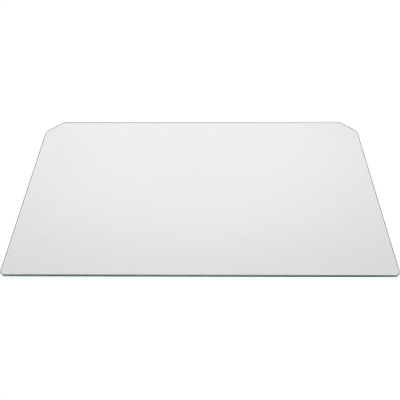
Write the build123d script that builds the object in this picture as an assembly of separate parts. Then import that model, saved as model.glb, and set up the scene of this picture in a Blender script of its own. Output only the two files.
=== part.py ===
"""Toughened glass shelf for a refrigerator: one flat pane, cut to outline and ground on its edges.

Frame: X runs across the shelf, +Y points to the rear of the cabinet and +Z is up.
The origin is on the underside, in the middle of the pane.
"""

import os

from build123d import *

# Driving dimensions, in millimetres
pane_width = 475.0  # side to side
pane_depth = 310.0  # front edge to rear edge
pane_thickness = 4.0  # float glass, nominal
rear_corner_cut = 24.0  # leg of the 45 degree cut across each rear corner
rear_corner_radius = 10.0  # rounding at both ends of a rear cut, on the flat face
front_corner_cut = 5.0  # leg of the small safety cut across each front corner
front_corner_radius = 2.0  # rounding at both ends of a front cut, on the flat face
arris = 0.8  # leg of the 45 degree bevel ground along every edge, above and below


def at_rear(corner):
    return corner.Y > 0


def at_front(corner):
    return corner.Y < 0


def outline():
    """The plan of the pane at its widest. An arris makes each corner's radius larger there than on the face."""
    with BuildSketch() as plan:
        Rectangle(pane_width, pane_depth)
        chamfer(plan.vertices().filter_by(at_rear), rear_corner_cut)
        chamfer(plan.vertices().filter_by(at_front), front_corner_cut)
        fillet(plan.vertices().filter_by(at_rear), rear_corner_radius + arris)
        fillet(plan.vertices().filter_by(at_front), front_corner_radius + arris)
    return plan.sketch


def glass_pane():
    """The outline at full thickness, with an arris round the top and the underside."""
    with BuildPart() as pane:
        add(outline())
        extrude(amount=pane_thickness)
        flat_faces = pane.faces().filter_by(Axis.Z)
        chamfer(flat_faces.edges(), arris)
    return pane.part


os.makedirs("parts", exist_ok=True)
export_step(glass_pane(), "parts/glass_pane.step")
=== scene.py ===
import math

import bpy
from mathutils import Matrix, Vector


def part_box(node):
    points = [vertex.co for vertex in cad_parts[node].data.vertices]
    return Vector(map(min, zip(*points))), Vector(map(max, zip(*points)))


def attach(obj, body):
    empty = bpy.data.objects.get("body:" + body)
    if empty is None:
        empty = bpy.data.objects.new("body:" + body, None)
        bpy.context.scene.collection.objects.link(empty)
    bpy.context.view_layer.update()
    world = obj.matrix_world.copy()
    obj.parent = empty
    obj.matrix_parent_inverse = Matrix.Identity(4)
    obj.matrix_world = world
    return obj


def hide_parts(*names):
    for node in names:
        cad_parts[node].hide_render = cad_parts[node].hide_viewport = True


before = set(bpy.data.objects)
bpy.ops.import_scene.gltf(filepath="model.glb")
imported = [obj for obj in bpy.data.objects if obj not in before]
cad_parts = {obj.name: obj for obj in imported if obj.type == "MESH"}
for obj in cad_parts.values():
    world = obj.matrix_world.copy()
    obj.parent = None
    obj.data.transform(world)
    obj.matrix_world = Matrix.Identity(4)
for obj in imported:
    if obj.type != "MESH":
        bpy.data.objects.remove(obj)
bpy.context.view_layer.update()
print("frame loaded:", ", ".join(sorted(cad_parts)))


# Small helpers for the objects and for every node tree in this file

nodeGap = 180  # sets a tree's nodes out in one readable row
mixSockets = {"FLOAT": (2, 3, 0), "RGBA": (6, 7, 2)}  # places of A, B and the result in a Mix node


def addObject(name, data):
    holder = bpy.data.objects.new(name, data)
    bpy.context.scene.collection.objects.link(holder)
    return holder


def turned(degrees, axis):
    return Matrix.Rotation(math.radians(degrees), 4, axis)


def emptyTree(owner):
    owner.use_nodes = True
    owner.node_tree.nodes.clear()
    return owner.node_tree


def addNode(tree, kind, **settings):
    node = tree.nodes.new(kind)
    for name, value in settings.items():
        setattr(node, name, value)
    node.location.x = nodeGap * len(tree.nodes)
    return node


def plug(tree, socket, value):
    # a socket takes a plain value, or a link from another node's output
    if isinstance(value, bpy.types.NodeSocket):
        tree.links.new(value, socket)
    else:
        socket.default_value = value


def feed(tree, node, **values):
    for name, value in values.items():
        plug(tree, node.inputs[name.replace("_", " ")], value)
    return node


def maths(tree, operation, first, second=0.0):
    node = addNode(tree, "ShaderNodeMath", operation=operation)
    plug(tree, node.inputs[0], first)
    plug(tree, node.inputs[1], second)
    return node.outputs[0]


def blend(tree, share, first, second, kind="FLOAT"):
    mix = addNode(tree, "ShaderNodeMix", data_type=kind)
    firstPlace, secondPlace, resultPlace = mixSockets[kind]
    plug(tree, mix.inputs[0], share)
    plug(tree, mix.inputs[firstPlace], first)
    plug(tree, mix.inputs[secondPlace], second)
    return mix.outputs[resultPlace]


# The pane: a rectangle with cut and rounded corners, and a ground edge section swept round it

pane = {
    "node": "glass_pane",
    "edgeMask": "groundEdge",  # attribute that tells the glass where it is ground
    "Rear Cut": 0.024,  # leg of the 45 degree cut across a rear corner
    "Rear Radius": 0.0108,  # rounding at both ends of a rear cut, where the pane is widest
    "Front Cut": 0.005,
    "Front Radius": 0.0028,
    "Arris": 0.0008,  # leg of the bevel ground above and below
    "Arris Softness": 0.0003,  # how far the grinding belt rounds the bevel's own edges
    "Flat Rim": 0.0006,  # strip of each polished face that is swept with the edge
    "Weld Distance": 0.000002,  # closes the seam between a face and its rim
    "Flat Limit": 0.995,  # vertical share of the normal, above which a face counts as polished
    "Corner Steps": 12,
    "Softness Steps": 4,
}


def paneInputs(tree):
    sizes = ["Width", "Depth", "Thickness", "Rear Cut", "Rear Radius", "Front Cut", "Front Radius",
             "Arris", "Arris Softness", "Flat Rim", "Weld Distance", "Flat Limit"]
    for name in sizes:
        tree.interface.new_socket(name, in_out="INPUT", socket_type="NodeSocketFloat")
    for name in ("Corner Steps", "Softness Steps"):
        tree.interface.new_socket(name, in_out="INPUT", socket_type="NodeSocketInt")
    tree.interface.new_socket("Glass", in_out="INPUT", socket_type="NodeSocketMaterial")
    tree.interface.new_socket("Pane", in_out="OUTPUT", socket_type="NodeSocketGeometry")
    return addNode(tree, "NodeGroupInput").outputs


def byEnd(tree, rear, front):
    # the rear value behind the middle of the pane, the front value before it
    spot = addNode(tree, "ShaderNodeSeparateXYZ")
    plug(tree, spot.inputs[0], addNode(tree, "GeometryNodeInputPosition").outputs[0])
    pick = addNode(tree, "GeometryNodeSwitch", input_type="FLOAT")
    plug(tree, pick.inputs["Switch"], maths(tree, "GREATER_THAN", spot.outputs["Y"], 0.0))
    plug(tree, pick.inputs["True"], rear)
    plug(tree, pick.inputs["False"], front)
    return pick.outputs[0]


def paneOutline(tree, size):
    sheet = addNode(tree, "GeometryNodeCurvePrimitiveQuadrilateral")
    feed(tree, sheet, Width=size["Width"], Height=size["Depth"])
    cut = addNode(tree, "GeometryNodeFilletCurve", mode="POLY")  # one step makes a straight cut
    feed(tree, cut, Curve=sheet.outputs[0], Count=1,
         Radius=byEnd(tree, size["Rear Cut"], size["Front Cut"]))
    rounded = addNode(tree, "GeometryNodeFilletCurve", mode="POLY")
    feed(tree, rounded, Curve=cut.outputs[0], Count=size["Corner Steps"],
         Radius=byEnd(tree, size["Rear Radius"], size["Front Radius"]))
    upright = addNode(tree, "GeometryNodeSetCurveNormal", mode="Z_UP")  # normals then point outwards
    return feed(tree, upright, Curve=rounded.outputs[0]).outputs[0]


def edgeSection(tree, size, rim):
    # six points from the top face to the underside: X is outwards, and Y is downwards along the sweep
    widest = 0.0
    bevelIn = maths(tree, "MULTIPLY", size["Arris"], -1.0)
    rimIn = maths(tree, "MULTIPLY", rim, -1.0)
    top = maths(tree, "MULTIPLY", size["Thickness"], -1.0)
    topBevel = maths(tree, "ADD", top, size["Arris"])
    low = 0.0
    lowBevel = bevelIn  # a bevel at 45 degrees is as tall as it is wide
    corners = [(rimIn, top), (bevelIn, top), (widest, topBevel),
               (widest, lowBevel), (bevelIn, low), (rimIn, low)]
    choose = addNode(tree, "GeometryNodeIndexSwitch", data_type="VECTOR")
    while len(choose.index_switch_items) < len(corners):
        choose.index_switch_items.new()
    feed(tree, choose, Index=addNode(tree, "GeometryNodeInputIndex").outputs[0])
    for number, (outward, down) in enumerate(corners):
        spot = feed(tree, addNode(tree, "ShaderNodeCombineXYZ"), X=outward, Y=down)
        plug(tree, choose.inputs[str(number)], spot.outputs[0])
    straight = addNode(tree, "GeometryNodeCurvePrimitiveLine")
    line = addNode(tree, "GeometryNodeResampleCurve", mode="COUNT")
    feed(tree, line, Curve=straight.outputs[0], Count=len(corners))
    bent = addNode(tree, "GeometryNodeSetPosition")
    feed(tree, bent, Geometry=line.outputs[0], Position=choose.outputs[0])
    soft = addNode(tree, "GeometryNodeFilletCurve", mode="POLY")
    feed(tree, soft, Curve=bent.outputs[0], Count=size["Softness Steps"], Radius=size["Arris Softness"])
    return soft.outputs[0]


def flatFace(tree, outline, rim, height, facingUp):
    # the polished face inside the swept rim, filled at the underside and then lifted
    inward = addNode(tree, "ShaderNodeVectorMath", operation="SCALE")
    plug(tree, inward.inputs[0], addNode(tree, "GeometryNodeInputNormal").outputs["Normal"])
    feed(tree, inward, Scale=maths(tree, "MULTIPLY", rim, -1.0))
    inset = addNode(tree, "GeometryNodeSetPosition")
    feed(tree, inset, Geometry=outline, Offset=inward.outputs[0])
    face = feed(tree, addNode(tree, "GeometryNodeFillCurve", mode="NGONS"), Curve=inset.outputs[0])
    lift = feed(tree, addNode(tree, "ShaderNodeCombineXYZ"), Z=height)
    placed = addNode(tree, "GeometryNodeTransform")
    feed(tree, placed, Geometry=face.outputs[0], Translation=lift.outputs[0])
    if facingUp:
        return placed.outputs[0]
    return feed(tree, addNode(tree, "GeometryNodeFlipFaces"), Mesh=placed.outputs[0]).outputs[0]


def groundMask(tree, geometry, flatLimit):
    # 1 on the ground edge and its bevels, 0 on the polished faces
    normal = addNode(tree, "ShaderNodeSeparateXYZ")
    plug(tree, normal.inputs[0], addNode(tree, "GeometryNodeInputNormal").outputs["True Normal"])
    tilted = maths(tree, "LESS_THAN", maths(tree, "ABSOLUTE", normal.outputs["Z"]), flatLimit)
    store = addNode(tree, "GeometryNodeStoreNamedAttribute", data_type="FLOAT", domain="FACE")
    return feed(tree, store, Geometry=geometry, Name=pane["edgeMask"], Value=tilted).outputs[0]


def paneTree():
    tree = bpy.data.node_groups.new("shelfPane", "GeometryNodeTree")
    size = paneInputs(tree)
    rim = maths(tree, "ADD", size["Arris"], size["Flat Rim"])
    outline = paneOutline(tree, size)
    sweep = addNode(tree, "GeometryNodeCurveToMesh")
    feed(tree, sweep, Curve=outline, Profile_Curve=edgeSection(tree, size, rim))
    topFace = flatFace(tree, outline, rim, size["Thickness"], True)
    underside = flatFace(tree, outline, rim, 0.0, False)
    join = addNode(tree, "GeometryNodeJoinGeometry")
    for part in (sweep.outputs[0], topFace, underside):
        plug(tree, join.inputs[0], part)
    weld = addNode(tree, "GeometryNodeMergeByDistance")
    feed(tree, weld, Geometry=join.outputs[0], Distance=size["Weld Distance"])
    marked = groundMask(tree, weld.outputs[0], size["Flat Limit"])
    smooth = feed(tree, addNode(tree, "GeometryNodeSetShadeSmooth"), Geometry=marked)
    real = feed(tree, addNode(tree, "GeometryNodeRealizeInstances"), Geometry=smooth.outputs[0])
    finish = addNode(tree, "GeometryNodeSetMaterial")
    feed(tree, finish, Geometry=real.outputs[0], Material=size["Glass"])
    plug(tree, addNode(tree, "NodeGroupOutput").inputs[0], finish.outputs[0])
    return tree


def makePane(material):
    low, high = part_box(pane["node"])
    span = high - low
    values = dict(pane, Width=span.x, Depth=span.y, Thickness=span.z, Glass=material)
    draft = addObject("paneDraft", bpy.data.meshes.new("paneDraft"))
    nodes = draft.modifiers.new("shelfPane", "NODES")
    nodes.node_group = paneTree()
    for socket in nodes.node_group.interface.items_tree:
        if socket.in_out == "INPUT":
            nodes[socket.identifier] = values[socket.name]
    solved = draft.evaluated_get(bpy.context.evaluated_depsgraph_get())
    mesh = bpy.data.meshes.new_from_object(solved)
    mesh.materials.pop(index=0)  # the tree leaves an empty slot before the glass
    bpy.data.objects.remove(draft)
    print("pane:", len(mesh.vertices), "points,", len(mesh.polygons), "faces")
    return addObject("glassPane", mesh)


# Clear toughened float glass: polished on its faces, fine ground on its edge

glass = {
    "ior": 1.52,
    "bodyTint": (0.557, 0.814, 0.775, 1.0),  # colour that a long way through the pane takes on
    "bodyDensity": 28.0,  # per metre
    "faceTint": (0.902, 0.873, 0.876, 1.0),
    "faceRoughness": (0.0, 0.03),  # clean glass, and the faint marks that a cloth leaves
    "wipeSize": (0.16, 0.03, 0.03),  # length of a mark across the shelf, and its width
    "waveLength": 0.26,  # roller waves from toughening, side by side from front to rear
    "waveDepth": 0.00003,
    "waveSway": 0.5,  # how far the waves wander from straight
    "edgeTint": ((0.60, 0.62, 0.61, 1.0), (0.68, 0.70, 0.69, 1.0)),
    "edgeRoughness": (0.37, 0.45),
    "edgeClear": 0.96,  # share of the ground edge that lets light in, the rest is white scatter
    "grindSize": (0.04, 0.04, 0.0002),  # length of a grinding line along the edge, and its width
    "grindDepth": 0.0000015,
    "streakDetail": 3.0,  # finer noise within a wipe mark or a grinding line
    "streakRange": (0.3, 0.7),  # part of the noise that is spread over 0 to 1
}
waveRate = 20  # radians in a metre that a Wave node of scale 1 turns through


def streaks(tree, spot, size):
    # soft noise from 0 to 1, stretched to marks of the given size
    stretch = addNode(tree, "ShaderNodeMapping")
    feed(tree, stretch, Vector=spot, Scale=[1 / length for length in size])
    noise = addNode(tree, "ShaderNodeTexNoise")
    feed(tree, noise, Vector=stretch.outputs[0], Scale=1.0, Detail=glass["streakDetail"])
    faint, strong = glass["streakRange"]
    spread = addNode(tree, "ShaderNodeMapRange")
    feed(tree, spread, Value=noise.outputs["Fac"], From_Min=faint, From_Max=strong)
    return spread.outputs["Result"]


def rollerWave(tree, spot):
    wave = addNode(tree, "ShaderNodeTexWave", bands_direction="Y")
    feed(tree, wave, Vector=spot, Scale=math.tau / (waveRate * glass["waveLength"]),
         Distortion=glass["waveSway"])
    return wave.outputs["Fac"]


def clearGlass():
    material = bpy.data.materials.new("clearGlass")
    tree = emptyTree(material)
    spot = addNode(tree, "ShaderNodeTexCoord").outputs["Object"]
    edge = addNode(tree, "ShaderNodeAttribute", attribute_name=pane["edgeMask"]).outputs["Fac"]
    wipe = streaks(tree, spot, glass["wipeSize"])
    grind = streaks(tree, spot, glass["grindSize"])
    edgeTint = blend(tree, grind, *glass["edgeTint"], "RGBA")
    faceRoughness = blend(tree, wipe, *glass["faceRoughness"])
    edgeRoughness = blend(tree, grind, *glass["edgeRoughness"])
    faceHeight = maths(tree, "MULTIPLY", rollerWave(tree, spot), glass["waveDepth"])
    edgeHeight = maths(tree, "MULTIPLY", grind, glass["grindDepth"])
    relief = addNode(tree, "ShaderNodeBump")  # its heights are in metres
    feed(tree, relief, Height=blend(tree, edge, faceHeight, edgeHeight), Distance=1.0)
    body = addNode(tree, "ShaderNodeBsdfPrincipled")
    feed(tree, body, IOR=glass["ior"], Normal=relief.outputs[0],
         Base_Color=blend(tree, edge, glass["faceTint"], edgeTint, "RGBA"),
         Roughness=blend(tree, edge, faceRoughness, edgeRoughness),
         Transmission_Weight=blend(tree, edge, 1.0, glass["edgeClear"]))
    inside = addNode(tree, "ShaderNodeVolumeAbsorption")
    feed(tree, inside, Color=glass["bodyTint"], Density=glass["bodyDensity"])
    out = addNode(tree, "ShaderNodeOutputMaterial")
    feed(tree, out, Surface=body.outputs[0], Volume=inside.outputs[0])
    print("glass:", len(tree.nodes), "nodes")
    return material


# Stage: white paper floor, one soft box, and pale surroundings with soft glows

stage = {
    "floorSize": 60.0,
    "floorDrop": 0.0006,  # hair of air under the pane
    "floorWhite": (0.98, 0.98, 0.98, 1.0),
    "plainWhite": (1.0, 1.0, 1.0, 1.0),
    "shownWhite": 0.75,  # share of the floor that shows as plain white
    "boxSize": (1.8, 1.4),
    "boxPlace": (0.0, -0.35, 1.7),
    "boxPower": 3.0,
    "roomLight": 1.02,  # even light from all sides
    "paleHeights": (10.0, 40.0),  # degrees above the horizon: end of the white wall, start of the ceiling
    "ceilingGrey": 0.38,
    # a glow is degrees to the left of straight behind, degrees above the horizon, strength, and its reach
    # in degrees from the middle to the sides, and up and down
    "glows": [
        (1.5, 38.5, 1.88, 36.7, 17.7),
        (180.0, 38.5, 1.6, 32.0, 17.7),
        (0.0, 90.0, 1.1, 38.0, 38.0),
    ],
    "pairedGlows": [  # each stands on the left, and again on the right
        (22.0, 22.0, 1.3, 30.0, 13.0),
        (74.0, 27.0, 1.5, 38.0, 34.0),
        (128.0, 34.0, 1.4, 30.0, 20.0),
    ],
    "glowCore": 0.17,  # share of the reach with the full strength
}


def mirroredRay(tree, ray):
    # 1 for what shows in gloss or through glass
    return maths(tree, "MAXIMUM", ray.outputs["Is Glossy Ray"], ray.outputs["Is Transmission Ray"])


def whiteFloor():
    material = bpy.data.materials.new("whitePaper")
    tree = emptyTree(material)
    ray = addNode(tree, "ShaderNodeLightPath")
    seen = maths(tree, "MAXIMUM", ray.outputs["Is Camera Ray"], mirroredRay(tree, ray))
    paper = feed(tree, addNode(tree, "ShaderNodeBsdfDiffuse"), Color=stage["floorWhite"])
    shown = feed(tree, addNode(tree, "ShaderNodeEmission"), Color=stage["plainWhite"], Strength=1.0)
    mix = addNode(tree, "ShaderNodeMixShader")
    plug(tree, mix.inputs[0], maths(tree, "MULTIPLY", seen, stage["shownWhite"]))
    plug(tree, mix.inputs[1], paper.outputs[0])
    plug(tree, mix.inputs[2], shown.outputs[0])
    feed(tree, addNode(tree, "ShaderNodeOutputMaterial"), Surface=mix.outputs[0])
    return material


def makeFloor():
    half = stage["floorSize"] / 2
    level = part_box(pane["node"])[0].z - stage["floorDrop"]
    corners = [(-half, -half, level), (half, -half, level), (half, half, level), (-half, half, level)]
    mesh = bpy.data.meshes.new("floor")
    mesh.from_pydata(corners, [], [(0, 1, 2, 3)])
    mesh.materials.append(whiteFloor())
    addObject("floor", mesh)


def softBox():
    lamp = bpy.data.lights.new("softBox", "AREA")
    lamp.shape = "RECTANGLE"
    lamp.size, lamp.size_y = stage["boxSize"]
    lamp.energy = stage["boxPower"]
    holder = addObject("softBox", lamp)
    holder.location = stage["boxPlace"]
    holder.visible_glossy = False  # it lights the shelf, but doesn't mirror in it


def fadeBetween(tree, value, ends, levels):
    fade = addNode(tree, "ShaderNodeMapRange", interpolation_type="SMOOTHSTEP")
    feed(tree, fade, Value=value, From_Min=ends[0], From_Max=ends[1], To_Min=levels[0], To_Max=levels[1])
    return fade.outputs["Result"]


def alongAxis(tree, direction, axis):
    part = addNode(tree, "ShaderNodeVectorMath", operation="DOT_PRODUCT")
    plug(tree, part.inputs[0], direction)
    plug(tree, part.inputs[1], axis)
    return part.outputs["Value"]


def softGlow(tree, direction, turnLeft, height, strength, sideReach, upReach):
    # the distance is 0 in the middle of an oval, and 1 where its reach ends
    aim = turned(turnLeft, "Z") @ turned(height, "X")
    sideScale = 1.0 / math.sin(math.radians(sideReach))
    upScale = 1.0 / math.sin(math.radians(upReach))
    sideways = alongAxis(tree, direction, aim @ Vector((sideScale, 0.0, 0.0)))
    upwards = alongAxis(tree, direction, aim @ Vector((0.0, 0.0, upScale)))
    offset = feed(tree, addNode(tree, "ShaderNodeCombineXYZ"), X=sideways, Y=upwards)
    distance = addNode(tree, "ShaderNodeVectorMath", operation="LENGTH")
    plug(tree, distance.inputs[0], offset.outputs[0])
    return fadeBetween(tree, distance.outputs["Value"], (stage["glowCore"], 1.0), (strength, 0.0))


def shownRoom(tree):
    # what gloss and glass show: white round the horizon, grey higher up, and the soft glows
    direction = addNode(tree, "ShaderNodeTexCoord").outputs["Generated"]
    upward = addNode(tree, "ShaderNodeSeparateXYZ")
    plug(tree, upward.inputs[0], direction)
    paleEnds = [math.sin(math.radians(height)) for height in stage["paleHeights"]]
    level = fadeBetween(tree, upward.outputs["Z"], paleEnds, (1.0, stage["ceilingGrey"]))
    glows = list(stage["glows"])
    for turnLeft, *form in stage["pairedGlows"]:
        glows += [(turnLeft, *form), (-turnLeft, *form)]
    for glow in glows:
        level = maths(tree, "MAXIMUM", level, softGlow(tree, direction, *glow))
    return level


def surroundings():
    world = bpy.data.worlds.new("paleRoom")
    bpy.context.scene.world = world
    tree = emptyTree(world)
    ray = addNode(tree, "ShaderNodeLightPath")
    room = blend(tree, mirroredRay(tree, ray), stage["roomLight"], shownRoom(tree))
    level = blend(tree, ray.outputs["Is Camera Ray"], room, 1.0)  # the backdrop is plain white
    light = feed(tree, addNode(tree, "ShaderNodeBackground"), Color=stage["plainWhite"], Strength=level)
    feed(tree, addNode(tree, "ShaderNodeOutputWorld"), Surface=light.outputs[0])


# Camera: in front of the shelf and above it, as in the photograph

view = {
    "place": (0.00988, -0.62221, 0.55528),
    "tiltDown": 42.688,  # degrees, as the next two are
    "turnLeft": 0.974,
    "roll": -0.637,
    "lens": 54.74,  # millimetres, as the next one is
    "pictureWidth": 36.0,
    "clipStart": 0.01,
}


def makeCamera():
    camera = bpy.data.cameras.new("camera")
    camera.sensor_width = view["pictureWidth"]
    camera.lens = view["lens"]
    camera.clip_start = view["clipStart"]
    turn = turned(view["turnLeft"], "Z")
    tilt = turned(90.0 - view["tiltDown"], "X")  # an unturned camera looks straight down
    roll = turned(view["roll"], "Z")
    holder = addObject("camera", camera)
    holder.matrix_world = Matrix.Translation(view["place"]) @ turn @ tilt @ roll
    bpy.context.scene.camera = holder


# Light paths: long ones inside the pane, with thin edges that stay crisp and free of speckle

lightPaths = {
    "bounces": 96,
    "filterWidth": 1.0,  # pixels
}


def setLightPaths():
    cycles = bpy.context.scene.cycles
    cycles.max_bounces = lightPaths["bounces"]
    cycles.transmission_bounces = lightPaths["bounces"]
    cycles.glossy_bounces = lightPaths["bounces"]
    cycles.filter_width = lightPaths["filterWidth"]
    cycles.use_guiding = True  # this and the next line keep speckle off the ground edge
    cycles.denoising_input_passes = "RGB_ALBEDO"


shelf = makePane(clearGlass())
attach(shelf, "root")
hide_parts(pane["node"])

makeFloor()
softBox()
surroundings()
print("floor, soft box and surroundings set")
makeCamera()
setLightPaths()
bpy.context.scene.view_settings.view_transform = "Standard"
print("camera and light paths set")
